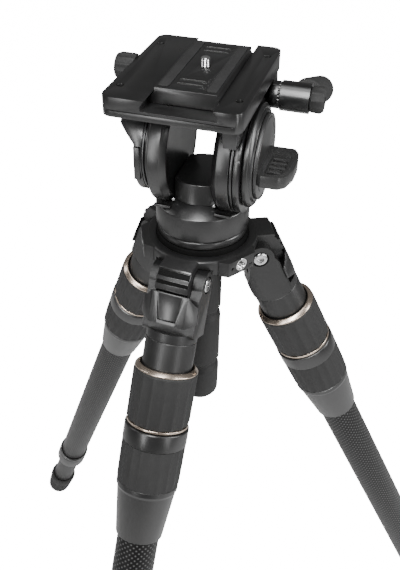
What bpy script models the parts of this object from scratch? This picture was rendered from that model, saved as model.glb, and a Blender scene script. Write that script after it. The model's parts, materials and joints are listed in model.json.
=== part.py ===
"""Video tripod with a 75 mm bowl, three locking legs and a fluid head.

Every separate piece is one closed solid. The helpers below take millimetres and build in metres, +Z up.
The rim frame has its origin in the middle of the bowl's rim. A leg's frame has its origin on the
leg's hinge pin: X along the pin, -Y outwards and -Z down the leg. The head's frame turns with the pan.
"""
import math

import bmesh
import bpy
from mathutils import Matrix
from mathutils import Vector

MM = 0.001
GAP = 0.3

# Bowl and spider
BOWL_RADIUS = 36.6
SEAT_DEPTH = 12.0
RING_RADIUS = 44.0
FLAT_REACH = 47.5
FLAT_HALF = 12.5
FLAT_DEPTH = 13.0
FLAT_HOLE_DEPTH = 6.2
INSERT_RADIUS = 5.3
VIAL_REACH = 42.3
VIAL_RADIUS = 3.6

# Leg hinge: pin place in the rim frame, and the fork round it
LEG_NAMES = ("leg_a", "leg_b", "leg_c")
LEG_AZIMUTHS = (-90.0, 30.0, 150.0)
LEG_TILT = 25.25
PIN_REACH = 43.3
PIN_DROP = 17.8
PIN_RADIUS = 4.0
PIN_HEAD_RADIUS = 5.8
ARM_HALF = 12.8
FORK_INNER = 13.2
FORK_OUTER = 21.6
EAR_RADIUS = 11.2
CAM_RADIUS = 20.6
CAM_NOTCH = 1.4
CAM_STOPS = ((-2.0, 7.3), (20.0, 28.4), (36.9, 52.5))

# Leg, measured down from the hinge pin
NECK_RADIUS = 20.0
RING_TOP = 69.4
RING_OUTER = 25.0
RING_INNER = 21.2
RING_HEIGHT = 3.0
GRIP_TOP = 72.7
GRIP_BOTTOM = 116.2
GRIP_RADIUS = 25.6
GRIP_FLUTES = 14
COLLAR_TOP = 119.8
COLLAR_BAND = 133.0
COLLAR_WIDE_END = 174.0
COLLAR_BOTTOM = 219.0
COLLAR_RADIUS = 26.0
TUBE_RADIUS = 17.45
TUBE_TOP = 60.0
TUBE_BOTTOM = 596.0
SLEEVE_TOP = 580.0
SLEEVE_BOTTOM = 614.0
LOWER_RADIUS = 14.6
LOWER_TOP = 132.0
LOWER_BOTTOM = 722.0
FOOT_RADIUS = 17.0
FOOT_TOP = 704.0
FOOT_CENTRE = 756.0

# Angle lock on the front of each leg
LOCK_TOP = 8.0
LOCK_BOTTOM = 32.3
LOCK_SEAT = 12.8
LOCK_FRONT = 20.8
LOCK_FACE_HALF = 14.0
LOCK_HALF = 22.5

# Head
PAN_REST = 4.5
TILT_HEIGHT = 72.1
HOUSING_RADIUS = 36.0
HOUSING_BOTTOM = 11.8
HOUSING_SHOULDER = 30.8
SADDLE_TOP = 54.0
DRUM_RADIUS = 42.5
DRUM_INNER = 16.4
DRUM_OUTER = 29.2
LEFT_HUB_RADIUS = 36.2
RIGHT_HUB_RADIUS = 42.2
AXLE_RADIUS = 9.0
ARM_INNER = 30.0
LEFT_ARM_OUTER = 41.0
RIGHT_ARM_OUTER = 36.4
LEFT_ARM_FLARE = 12.0
DIAL_RADIUS = 37.5
LEVER_DISC_RADIUS = 31.0
PLATFORM_BOTTOM = 115.6
PLATFORM_TOP = 129.0
PLATFORM_LEFT = 53.0
PLATFORM_RIGHT = 41.0
PLATFORM_HALF_LENGTH = 60.0
PLATE_HALF_WIDTH = 25.0
PLATE_HALF_LENGTH = 45.0
PAN_HANDLE_PIVOT = (57.0, 42.0, 101.0)
PAN_HANDLE_SLOPE = 20.0
HANDLE_RADIUS = 16.8
HANDLE_TOP = -29.0
HANDLE_BOTTOM = -178.0


def clear_scene():
    for old in list(bpy.data.objects):
        bpy.data.objects.remove(old, do_unlink=True)


def material(name, colour, roughness, metallic):
    """A Principled material in one colour."""
    made = bpy.data.materials.new(name)
    made.use_nodes = True
    shader = made.node_tree.nodes["Principled BSDF"]
    shader.inputs["Base Color"].default_value = (*colour, 1.0)
    shader.inputs["Roughness"].default_value = roughness
    shader.inputs["Metallic"].default_value = metallic
    return made


def charcoal(name):
    return material(name, (0.040, 0.041, 0.043), 0.42, 0.7)


def black_rubber(name):
    return material(name, (0.018, 0.018, 0.019), 0.75, 0.0)


def black_plastic(name):
    return material(name, (0.014, 0.014, 0.015), 0.5, 0.0)


def champagne(name):
    return material(name, (0.66, 0.53, 0.43), 0.28, 1.0)


def steel(name):
    return material(name, (0.62, 0.62, 0.63), 0.25, 1.0)


def carbon(name):
    return material(name, (0.028, 0.029, 0.031), 0.38, 0.2)


def empty(name, parent, place=(0, 0, 0), turn=None):
    """An empty at a place in millimetres, with its own turn, under a parent."""
    made = bpy.data.objects.new(name, None)
    bpy.context.collection.objects.link(made)
    made.parent = parent
    made.location = Vector(place) * MM
    if turn is not None:
        made.rotation_euler = turn
    return made


def solid(name, bm, finish=charcoal, parent=None, place=(0, 0, 0)):
    """A named object from a mesh in millimetres, with its own material."""
    bmesh.ops.recalc_face_normals(bm, faces=bm.faces)
    bmesh.ops.transform(bm, matrix=Matrix.Scale(MM, 4), verts=bm.verts)
    mesh = bpy.data.meshes.new(name)
    bm.to_mesh(mesh)
    bm.free()
    made = bpy.data.objects.new(name, mesh)
    bpy.context.collection.objects.link(made)
    mesh.materials.append(finish(name))
    made.parent = parent
    made.location = Vector(place) * MM
    smooth(made)
    return made


def smooth(made, limit=32.0):
    made.data.shade_smooth()
    made.data.set_sharp_from_angle(angle=math.radians(limit))


def combine(target, tool, operation="DIFFERENCE"):
    """Cut, join or intersect a piece with a tool made in the same frame, and drop the tool."""
    tool.parent = target.parent
    tool.location = target.location
    modifier = target.modifiers.new(operation.lower(), "BOOLEAN")
    modifier.operation = operation
    modifier.solver = "EXACT"
    modifier.object = tool
    graph = bpy.context.evaluated_depsgraph_get()
    mesh = bpy.data.meshes.new_from_object(target.evaluated_get(graph))
    target.modifiers.clear()
    finishes = list(target.data.materials)
    target.data = mesh
    mesh.materials.clear()
    mesh.materials.append(finishes[0])
    bpy.data.objects.remove(tool, do_unlink=True)
    smooth(target)
    return target


def turned(profile, segments=24):
    """A closed profile of (radius, height) points, turned about Z."""
    bm = bmesh.new()
    rings = []
    for radius, height in profile:
        if radius == 0:
            rings.append([bm.verts.new((0, 0, height))])
            continue
        ring = []
        for step in range(segments):
            angle = 2 * math.pi * step / segments
            ring.append(bm.verts.new((radius * math.cos(angle), radius * math.sin(angle), height)))
        rings.append(ring)
    for first, second in zip(rings, rings[1:] + rings[:1]):
        if len(first) == 1 and len(second) == 1:
            continue
        for step in range(segments):
            after = (step + 1) % segments
            corners = [first[step % len(first)], first[after % len(first)]]
            corners += [second[after % len(second)], second[step % len(second)]]
            bm.faces.new(list(dict.fromkeys(corners)))
    return bm


def fluted(profile_radius, depth, low, high, bore, flutes):
    """A sleeve with shallow scallops round it, and straight ends."""
    outline = []
    for step in range(flutes * 2):
        angle = math.pi * step / flutes
        radius = profile_radius if step % 2 == 0 else profile_radius - depth
        outline.append((radius * math.cos(angle), radius * math.sin(angle)))
    sleeve = solid("sleeve", prism(outline, low, high))
    return combine(sleeve, solid("bore", rod(bore, low - 1, high + 1)))


def prism(outline, low, high, axis="z"):
    """A flat outline pushed along an axis: (x, y) along z, (y, z) along x, (x, z) along y."""
    def place(first, second, along):
        if axis == "z":
            return (first, second, along)
        if axis == "x":
            return (along, first, second)
        return (first, along, second)

    bm = bmesh.new()
    bottom = [bm.verts.new(place(a, b, low)) for a, b in outline]
    top = [bm.verts.new(place(a, b, high)) for a, b in outline]
    bm.faces.new(bottom)
    bm.faces.new(top)
    for step in range(len(outline)):
        after = (step + 1) % len(outline)
        bm.faces.new((bottom[step], bottom[after], top[after], top[step]))
    return bm


def box(low, high):
    outline = [(low[0], low[1]), (high[0], low[1]), (high[0], high[1]), (low[0], high[1])]
    return prism(outline, low[2], high[2])


def rod(radius, low, high, segments=20):
    return turned([(0, low), (radius, low), (radius, high), (0, high)], segments)


def along_x(bm, place=(0, 0, 0)):
    """Turns a mesh made about Z so that its +Z points along +X."""
    turn = Matrix.Translation(Vector(place)) @ Matrix.Rotation(math.radians(90), 4, "Y")
    bmesh.ops.transform(bm, matrix=turn, verts=bm.verts)
    return bm


def spun(bm, degrees, place=(0, 0, 0)):
    """Turns a mesh about Z, after moving it."""
    turn = Matrix.Rotation(math.radians(degrees), 4, "Z") @ Matrix.Translation(Vector(place))
    bmesh.ops.transform(bm, matrix=turn, verts=bm.verts)
    return bm


def hexagon(across, low, high):
    """A socket for a key, as a six-sided prism."""
    return turned([(0, low), (across, low), (across, high), (0, high)], 6)


def arc(centre, radius, start, end, steps):
    """Points on an arc, between two angles in degrees."""
    points = []
    for step in range(steps + 1):
        angle = math.radians(start + (end - start) * step / steps)
        points.append((centre[0] + radius * math.cos(angle), centre[1] + radius * math.sin(angle)))
    return points


# ---------------------------------------------------------------- spider

def bowl_ring():
    """The ring that holds the half ball, with a round seat inside it."""
    seat = []
    for step in range(3):
        depth = SEAT_DEPTH * step / 2
        seat.append((math.sqrt(BOWL_RADIUS ** 2 - depth ** 2), -depth))
    outside = [(RING_RADIUS, -SEAT_DEPTH), (RING_RADIUS, -1.5), (RING_RADIUS - 1.5, 0)]
    return turned(seat + outside, 40)


def flat_block():
    """One straight side of the spider, between two legs, out along +X."""
    inner = BOWL_RADIUS + 3.0
    shoulder = FLAT_REACH - 6.5
    outline = [(inner, -FLAT_HALF - 5), (shoulder, -FLAT_HALF - 5), (FLAT_REACH, -FLAT_HALF)]
    outline += [(FLAT_REACH, FLAT_HALF), (shoulder, FLAT_HALF + 5), (inner, FLAT_HALF + 5)]
    return prism(outline, -FLAT_DEPTH, -0.4)


def cam_profile():
    """Side view of a leg's arm, as (outwards, up): a round nose with three stops for the lock."""
    centre = (PIN_REACH, -PIN_DROP)
    points = [(BOWL_RADIUS + 3.0, -SEAT_DEPTH + 1.5), (BOWL_RADIUS + 3.0, -0.6)]
    top_angle = math.degrees(math.asin((PIN_DROP - 0.6) / CAM_RADIUS))
    points.append((centre[0] + CAM_RADIUS * math.cos(math.radians(top_angle)), -0.6))
    for low, high in reversed(CAM_STOPS):
        points += arc(centre, CAM_RADIUS, high + 1.2, high, 1)
        points += arc(centre, CAM_RADIUS - CAM_NOTCH, high, low, 2)
        points += arc(centre, CAM_RADIUS, low, low - 1.2, 1)
    points += arc(centre, CAM_RADIUS, -8, -14, 1)
    points += [(PIN_REACH + 8, -PIN_DROP - 12), (PIN_REACH, -PIN_DROP - 13)]
    points.append((PIN_REACH - 7, -PIN_DROP - 9))
    return points


def make_spider(rim):
    spider = solid("spider", bowl_ring(), charcoal, rim)
    for azimuth in LEG_AZIMUTHS:
        arm = prism(cam_profile(), -ARM_HALF, ARM_HALF, axis="y")
        combine(spider, solid("arm", spun(arm, azimuth)), "UNION")
        combine(spider, solid("flat", spun(flat_block(), azimuth + 60)), "UNION")
    for azimuth in LEG_AZIMUTHS:
        pin_hole = spun(along_x(rod(PIN_RADIUS + GAP, -ARM_HALF - 1, ARM_HALF + 1, 12)), 90)
        combine(spider, solid("pin_hole", spun(pin_hole, azimuth, (PIN_REACH, 0, -PIN_DROP))))
        for side in (-1, 1):
            low, high = sorted((side * (ARM_HALF + 0.001), side * (FORK_OUTER + 1.5)))
            ear = arc((PIN_REACH, -PIN_DROP), EAR_RADIUS + 0.7, 0, 330, 11)
            pocket = prism(ear, low, high, axis="y")
            combine(spider, solid("pocket", spun(pocket, azimuth)))
        thread = along_x(rod(INSERT_RADIUS + GAP, 0, 8, 16), (FLAT_REACH - 7, 0, -FLAT_HOLE_DEPTH))
        combine(spider, solid("thread", spun(thread, azimuth + 60)))
    vial_hole = rod(VIAL_RADIUS + GAP, -3.0, 4.0, 16)
    combine(spider, solid("vial_hole", spun(vial_hole, 90, (VIAL_REACH, 0, 0))))

    insert = [(3.2, 0), (INSERT_RADIUS, 0), (INSERT_RADIUS, 6.0), (INSERT_RADIUS - 0.6, 6.6), (3.8, 6.6)]
    insert = along_x(turned(insert, 16), (FLAT_REACH - 6.7, 0, -FLAT_HOLE_DEPTH))
    insert = spun(insert, LEG_AZIMUTHS[0] + 60)
    solid("accessory_thread", insert, steel, rim)
    vial = [(0, -2.7), (VIAL_RADIUS, -2.7), (VIAL_RADIUS, 0.4), (VIAL_RADIUS - 1, 1.0), (0, 1.2)]
    solid("bubble_level", spun(turned(vial, 16), 90, (VIAL_REACH, 0, 0)), black_plastic, rim)


# ---------------------------------------------------------------- one leg, in its own frame

def ear_profile():
    """Side view of the fork as (y, z): a round ear that widens into the neck's block."""
    points = arc((0, 0), EAR_RADIUS, -20, 200, 7)
    points += [(-LOCK_SEAT + GAP, -11), (-LOCK_SEAT + GAP, -42), (19.4, -42), (19.4, -25)]
    return points


def make_casting(name, parent):
    block = prism(ear_profile(), -FORK_OUTER, FORK_OUTER, axis="x")
    casting = solid(name + "_fork", block, charcoal, parent)
    combine(casting, solid("rounding", rod(24.2, -60, 20, 24)), "INTERSECT")
    neck = [(0, -RING_TOP - 46), (NECK_RADIUS, -RING_TOP - 46), (NECK_RADIUS, -25), (0, -25)]
    combine(casting, solid("neck", turned(neck)), "UNION")
    combine(casting, solid("seat", box((-30, -30, -LOCK_BOTTOM - 5), (30, -LOCK_SEAT + GAP, -2))))
    saddle = along_x(rod(CAM_RADIUS + 0.5, -FORK_INNER, FORK_INNER, 28))
    combine(casting, solid("saddle", saddle))
    combine(casting, solid("bore", rod(TUBE_RADIUS + GAP, -130, -TUBE_TOP + 0.4, 24)))
    combine(casting, solid("pin_hole", along_x(rod(PIN_RADIUS + GAP, -30, 30, 12))))
    for side in (-1, 1):
        low, high = sorted((side * (FORK_OUTER - 3.0), side * 30))
        combine(casting, solid("counterbore", along_x(rod(PIN_HEAD_RADIUS + 1.0, low, high, 16))))
    return casting


def make_pin(name, parent):
    """The hinge pin, with a round head and a hexagon socket at both ends."""
    inner, outer = FORK_OUTER - 2.7, FORK_OUTER + 0.4
    profile = [(0, -outer), (PIN_HEAD_RADIUS, -outer), (PIN_HEAD_RADIUS, -inner), (PIN_RADIUS, -inner)]
    profile += [(PIN_RADIUS, inner), (PIN_HEAD_RADIUS, inner), (PIN_HEAD_RADIUS, outer), (0, outer)]
    pin = solid(name + "_hinge_pin", along_x(turned(profile, 12)), steel, parent)
    for low, high in ((outer - 2.4, outer + 1), (-outer - 1, -outer + 2.4)):
        combine(pin, solid("socket", along_x(hexagon(2.9, low, high))))
    return pin


def make_lock(name, parent):
    """The sliding lock: a faceted saddle with a thumb scoop, hollowed to clear the arm's round nose."""
    back = -LOCK_SEAT
    outline = [(-LOCK_HALF, back), (-LOCK_HALF, back - 1.2), (-LOCK_FACE_HALF, -LOCK_FRONT)]
    outline += [(LOCK_FACE_HALF, -LOCK_FRONT), (LOCK_HALF, back - 1.2), (LOCK_HALF, back)]
    lock = solid(name + "_angle_lock", prism(outline, -LOCK_BOTTOM, -LOCK_TOP), charcoal, parent)
    front = [(-LOCK_FACE_HALF, -LOCK_TOP + 1), (-LOCK_HALF - 1, -LOCK_TOP - 8)]
    front += [(-LOCK_HALF - 1, -LOCK_BOTTOM + 5), (-LOCK_FACE_HALF, -LOCK_BOTTOM - 1)]
    front += [(LOCK_FACE_HALF, -LOCK_BOTTOM - 1), (LOCK_HALF + 1, -LOCK_BOTTOM + 5)]
    front += [(LOCK_HALF + 1, -LOCK_TOP - 8), (LOCK_FACE_HALF, -LOCK_TOP + 1)]
    combine(lock, solid("front", prism(front, -30, 0, axis="y")), "INTERSECT")
    combine(lock, solid("nose_room", along_x(rod(CAM_RADIUS + 0.5, -30, 30, 40))))
    scoop = [(-9, -14), (-6.5, -31.5), (7.5, -31.5), (10, -14)]
    combine(lock, solid("scoop", prism(scoop, -LOCK_FRONT - 1, -LOCK_FRONT + 2.4, axis="y")))
    return lock


def ring(name, top, parent):
    """One slim anodised ring, rounded outside."""
    bottom = top - RING_HEIGHT
    profile = [(RING_INNER, bottom), (RING_OUTER, bottom), (RING_OUTER, top - 1.2)]
    profile += [(RING_OUTER - 1.2, top), (RING_INNER, top)]
    return solid(name, turned(profile), champagne, parent)


def make_collar(name, parent):
    """The lower collar: a smooth band, a ribbed part and a long taper down to the tube."""
    inner = TUBE_RADIUS + GAP
    profile = [(inner, -COLLAR_BOTTOM), (TUBE_RADIUS + 2.0, -COLLAR_BOTTOM)]
    profile += [(COLLAR_RADIUS - 1.5, -COLLAR_WIDE_END), (COLLAR_RADIUS - 0.6, -COLLAR_WIDE_END + 5)]
    profile += [(COLLAR_RADIUS, -COLLAR_BAND), (COLLAR_RADIUS, -COLLAR_TOP), (inner, -COLLAR_TOP)]
    return solid(name + "_collar", turned(profile), charcoal, parent)


def tube(name, radius, wall, top, bottom, finish, parent, segments=24):
    profile = [(radius - wall, -bottom), (radius, -bottom), (radius, -top), (radius - wall, -top)]
    return solid(name, turned(profile, segments), finish, parent)


def make_foot(name, parent):
    """A rubber foot whose round end touches the ground at the leg's rest angle."""
    profile = [(0, -FOOT_CENTRE - FOOT_RADIUS)]
    for step in range(1, 4):
        angle = math.radians(LEG_TILT * step)
        profile.append((FOOT_RADIUS * math.sin(angle), -FOOT_CENTRE - FOOT_RADIUS * math.cos(angle)))
    profile += [(FOOT_RADIUS + 1.5, -FOOT_TOP - 8), (FOOT_RADIUS + 1.5, -FOOT_TOP)]
    profile += [(LOWER_RADIUS + GAP, -FOOT_TOP), (LOWER_RADIUS + GAP, -LOWER_BOTTOM - GAP)]
    profile.append((0, -LOWER_BOTTOM - GAP))
    return solid(name + "_foot", turned(profile, 24), black_rubber, parent)


def make_leg(name, azimuth, rim):
    """One leg on its hinge empty, with empties for the lock, the twist grip and the sliding tube."""
    yaw = math.radians(azimuth + 90)
    outwards = math.radians(azimuth)
    place = (PIN_REACH * math.cos(outwards), PIN_REACH * math.sin(outwards), -PIN_DROP)
    hinge = empty(name + "_hinge", rim, place, (-math.radians(LEG_TILT), 0, yaw))
    lock_slide = empty(name + "_lock_slide", hinge)
    grip_turn = empty(name + "_grip_turn", hinge)
    tube_slide = empty(name + "_tube_slide", hinge)

    make_casting(name, hinge)
    make_pin(name, hinge)
    make_lock(name, lock_slide)
    ring(name + "_upper_ring", -RING_TOP, grip_turn)
    grip = fluted(GRIP_RADIUS, 0.9, -GRIP_BOTTOM, -GRIP_TOP, NECK_RADIUS + 0.8, GRIP_FLUTES)
    grip.name = name + "_twist_grip"
    grip.parent = grip_turn
    grip.data.materials[0] = black_rubber(grip.name)
    ring(name + "_lower_ring", -GRIP_BOTTOM - GAP, hinge)
    make_collar(name, hinge)
    tube(name + "_upper_tube", TUBE_RADIUS, 1.6, TUBE_TOP, TUBE_BOTTOM, carbon, hinge)
    sleeve = [(LOWER_RADIUS + GAP, -SLEEVE_BOTTOM), (TUBE_RADIUS + 1.2, -SLEEVE_BOTTOM)]
    sleeve += [(TUBE_RADIUS + 2.6, -SLEEVE_BOTTOM + 3), (TUBE_RADIUS + 2.6, -SLEEVE_TOP)]
    sleeve += [(TUBE_RADIUS + GAP, -SLEEVE_TOP)]
    sleeve += [(TUBE_RADIUS + GAP, -TUBE_BOTTOM - GAP), (LOWER_RADIUS + GAP, -TUBE_BOTTOM - GAP)]
    solid(name + "_tube_sleeve", turned(sleeve), charcoal, hinge)
    tube(name + "_lower_tube", LOWER_RADIUS, 1.5, LOWER_TOP, LOWER_BOTTOM, carbon, tube_slide, 24)
    make_foot(name, tube_slide)


# ---------------------------------------------------------------- levelling base

def make_levelling(rim):
    """The half ball, its flange and washer, and the tie-down handle that clamps it into the bowl."""
    level = empty("levelling", rim)
    ball = []
    for step in range(5):
        height = 4.0 - 24.0 * step / 4
        ball.append((math.sqrt((BOWL_RADIUS - 0.35) ** 2 - height ** 2), height))
    solid("half_ball", turned([(5.5, 4.0)] + ball + [(5.5, -20.0)], 32), charcoal, level)
    flange = [(0, 4.3), (34.0, 4.3), (35.0, 5.5), (35.0, 10.0), (34.0, 11.4), (19.5, 11.4)]
    flange += [(19.5, 20.0), (0, 20.0)]
    solid("level_flange", turned(flange, 28), charcoal, level)
    washer = [(5.5, -24.5), (20.0, -24.5), (24.0, -21.5), (24.0, -20.3), (5.5, -20.3)]
    solid("tie_down_washer", turned(washer, 20), steel, level)

    handle = [(0, HANDLE_BOTTOM), (12.0, HANDLE_BOTTOM), (16.0, HANDLE_BOTTOM + 5)]
    for groove in (-138.0, -79.0):
        handle += [(HANDLE_RADIUS, groove - 5), (HANDLE_RADIUS - 2.4, groove), (HANDLE_RADIUS, groove + 5)]
    handle += [(HANDLE_RADIUS, HANDLE_TOP - 3), (HANDLE_RADIUS - 2, HANDLE_TOP), (12.0, -24.9)]
    handle += [(5.0, -24.9), (5.0, 2.0), (0, 2.0)]
    turn = empty("tie_down_turn", level)
    solid("tie_down_handle", turned(handle, 20), black_rubber, turn)
    return level


# ---------------------------------------------------------------- head

def make_housing(pan):
    """The turned pan housing, with the saddle that carries the two tilt drums."""
    profile = [(20.0, HOUSING_BOTTOM), (HOUSING_RADIUS, HOUSING_BOTTOM)]
    profile += [(HOUSING_RADIUS, HOUSING_SHOULDER - 1.4), (HOUSING_RADIUS - 1.4, HOUSING_SHOULDER)]
    profile += [(26.0, 37.6), (25.0, 37.8), (25.0, SADDLE_TOP), (0, SADDLE_TOP), (0, 21.0), (20.0, 21.0)]
    housing = solid("pan_housing", turned(profile, 40), charcoal, pan)
    for side in (-1, 1):
        low, high = sorted((side * (DRUM_INNER - GAP), side * 60))
        room = along_x(rod(DRUM_RADIUS + GAP, low, high, 48), (0, 0, TILT_HEIGHT))
        combine(housing, solid("drum_room", room))
    knob_hole = along_x(rod(4.3, 29, 45, 12), (0, 0, 21.5))
    combine(housing, solid("knob_hole", spun(knob_hole, 100)))

    knob = [(0, 30.5), (4.0, 30.5), (4.0, 38.0), (8.5, 38.0), (9.5, 39.5), (9.5, 50.0), (8.0, 52.0)]
    knob.append((0, 52.0))
    knob_turn = empty("pan_lock_turn", pan, (0, 0, 21.5), (0, 0, math.radians(100)))
    solid("pan_lock_knob", along_x(turned(knob, 18)), black_rubber, knob_turn)


def make_drum(name, side, pan):
    """One tilt drum: a wide rim with a chamfer on the inner face, bored for its axle."""
    inner, outer = DRUM_INNER, DRUM_OUTER
    profile = [(AXLE_RADIUS + GAP, inner), (DRUM_RADIUS - 4.8, inner), (DRUM_RADIUS, inner + 4.0)]
    profile += [(DRUM_RADIUS, outer), (AXLE_RADIUS + GAP, outer)]
    if side < 0:
        profile = [(radius, -height) for radius, height in profile]
    solid(name, along_x(turned(profile, 36)), charcoal, pan, (0, 0, TILT_HEIGHT))


def make_arm(name, side, outer, tilt):
    """One cradle arm: a round hub that widens upwards to the platform. The left one also flares out."""
    top = PLATFORM_BOTTOM - TILT_HEIGHT - GAP
    hub = LEFT_HUB_RADIUS if side < 0 else RIGHT_HUB_RADIUS
    outline = arc((0, 0), hub, 128, 412, 22)
    outline += [(33.0, top - 6), (36.0, top), (-36.0, top), (-33.0, top - 6)]
    flare = LEFT_ARM_FLARE if side < 0 else 0
    low, high = sorted((side * ARM_INNER, side * (outer + flare)))
    arm = solid(name, prism(outline, low, high, axis="x"), charcoal, tilt)
    if side < 0:
        beyond = -outer - flare - 5
        below = [(beyond, -50), (-outer, -50), (-outer, 12), (-outer - flare, 12 + flare)]
        below.append((beyond, 12 + flare))
        combine(arm, solid("below_flare", prism(below, -50, 50, axis="y")))
        bore = along_x(rod(AXLE_RADIUS + GAP, -outer + 3, -ARM_INNER + 1))
    else:
        bore = along_x(rod(AXLE_RADIUS + GAP, ARM_INNER - 1, outer + 1))
        combine(arm, solid("front_block", box((26, -50, 31), (outer, -34, top))), "UNION")
    combine(arm, solid("bore", bore))


def make_tilt_controls(pan):
    """The drag dial on the right drum's axle, and the folding lever outside it."""
    dial = [(AXLE_RADIUS + GAP, 36.9), (DIAL_RADIUS - 1, 36.9), (DIAL_RADIUS, 37.9), (DIAL_RADIUS, 41.5)]
    dial += [(DIAL_RADIUS - 2.5, 43.6), (AXLE_RADIUS + GAP, 43.6)]
    dial_turn = empty("drag_dial_turn", pan, (0, 0, TILT_HEIGHT))
    solid("drag_dial", along_x(turned(dial, 28)), charcoal, dial_turn)

    lever_turn = empty("tilt_lever_turn", pan, (0, 0, TILT_HEIGHT))
    disc = [(0, 43.9), (LEVER_DISC_RADIUS, 43.9), (LEVER_DISC_RADIUS, 45.6), (LEVER_DISC_RADIUS - 1, 46.4)]
    disc.append((0, 46.4))
    lever = solid("tilt_lever", along_x(turned(disc, 32)), black_plastic, lever_turn)
    wing = [(45.5, -31.0 + 3), (48.5, -31.0), (61.0, -31.0), (65.0, -28.0), (69.0, -15.0), (69.5, 0.0)]
    wing += [(68.0, 9.0), (64.5, 15.0), (45.5, 15.0)]
    combine(lever, solid("wing", prism(wing, -7.5, 1.5)), "UNION")
    combine(lever, solid("bore", along_x(rod(AXLE_RADIUS + GAP, 40, 45.2))))


def make_axles(pan):
    place = (0, 0, TILT_HEIGHT)
    solid("tilt_axle_left", along_x(rod(AXLE_RADIUS, -37.6, -DRUM_INNER - 1)), steel, pan, place)
    solid("tilt_axle_right", along_x(rod(AXLE_RADIUS, DRUM_INNER + 1, 44.9)), steel, pan, place)


def make_platform(tilt):
    """The platform that carries the camera plate, in a dovetail channel along its length."""
    low, high = PLATFORM_BOTTOM - TILT_HEIGHT, PLATFORM_TOP - TILT_HEIGHT
    left, right, length = PLATFORM_LEFT, PLATFORM_RIGHT, PLATFORM_HALF_LENGTH
    outline = [(-left, -length + 6), (-left + 6, -length), (right - 6, -length), (right, -length + 6)]
    outline += [(right, length - 6), (right - 6, length), (-left + 6, length), (-left, length - 6)]
    platform = solid("platform", prism(outline, low, high), charcoal, tilt)
    wide = PLATE_HALF_WIDTH + GAP
    channel = [(-wide + 3.5, high + 1), (-wide, high - 4), (-wide, high - 7)]
    channel += [(wide, high - 7), (wide, high - 4), (wide - 3.5, high + 1)]
    combine(platform, solid("channel", prism(channel, -length - 1, length + 1, axis="y")))
    screw_slot = prism([(-7, -35), (7, -35), (7, 35), (-7, 35)], low - 1, high)
    combine(platform, solid("slot", screw_slot))
    knob_hole = along_x(rod(4.3, -left - 4, -20, 16), (0, 10, high - 8))
    combine(platform, solid("knob_hole", knob_hole))
    button_hole = along_x(rod(4.3, -left - 4, -left + 10, 16), (0, -32, high - 7))
    combine(platform, solid("button_hole", button_hole))

    plate_slide = empty("plate_slide", tilt)
    wide = PLATE_HALF_WIDTH
    plate = [(-wide, high - 6.7), (wide, high - 6.7), (wide, high - 4.2), (wide - 3.9, high + 1)]
    plate += [(wide - 3.9, high + 4.5), (-wide + 3.9, high + 4.5), (-wide + 3.9, high + 1)]
    plate.append((-wide, high - 4.2))
    camera_plate = solid("camera_plate", prism(plate, -PLATE_HALF_LENGTH, PLATE_HALF_LENGTH, axis="y"))
    camera_plate.parent = plate_slide
    combine(camera_plate, solid("screw_hole", rod(3.6, high - 10, high + 10, 16)))
    combine(camera_plate, solid("head_room", rod(9.3, high - 10, high - 2.5)))
    screw_turn = empty("camera_screw_turn", plate_slide)
    screw = [(0, high - 6.2), (8.0, high - 6.2), (9.0, high - 5.4), (9.0, high - 2.8), (3.2, high - 2.8)]
    screw += [(3.2, high + 9.0), (2.4, high + 10.0), (0, high + 10.0)]
    camera_screw = solid("camera_screw", turned(screw, 20), steel, screw_turn)
    combine(camera_screw, solid("coin_slot", box((-10, -0.8, high - 8), (10, 0.8, high - 5.0))))

    lock_turn = empty("plate_lock_turn", tilt, (0, 10, high - 8))
    knob = [(0, -26.5), (4.0, -26.5), (4.0, -left - 0.4), (9.0, -left - 0.4), (10.0, -left - 1.4)]
    knob += [(10.0, -left - 13.0), (8.5, -left - 15.0), (0, -left - 15.0)]
    solid("plate_lock_knob", along_x(turned(knob, 18)), black_rubber, lock_turn)
    release = empty("plate_release_slide", tilt, (0, -32, high - 7))
    button = rod(4.0, -left - 3.5, -left + 7.5, 16)
    solid("plate_release_button", along_x(button), black_plastic, release)


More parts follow.
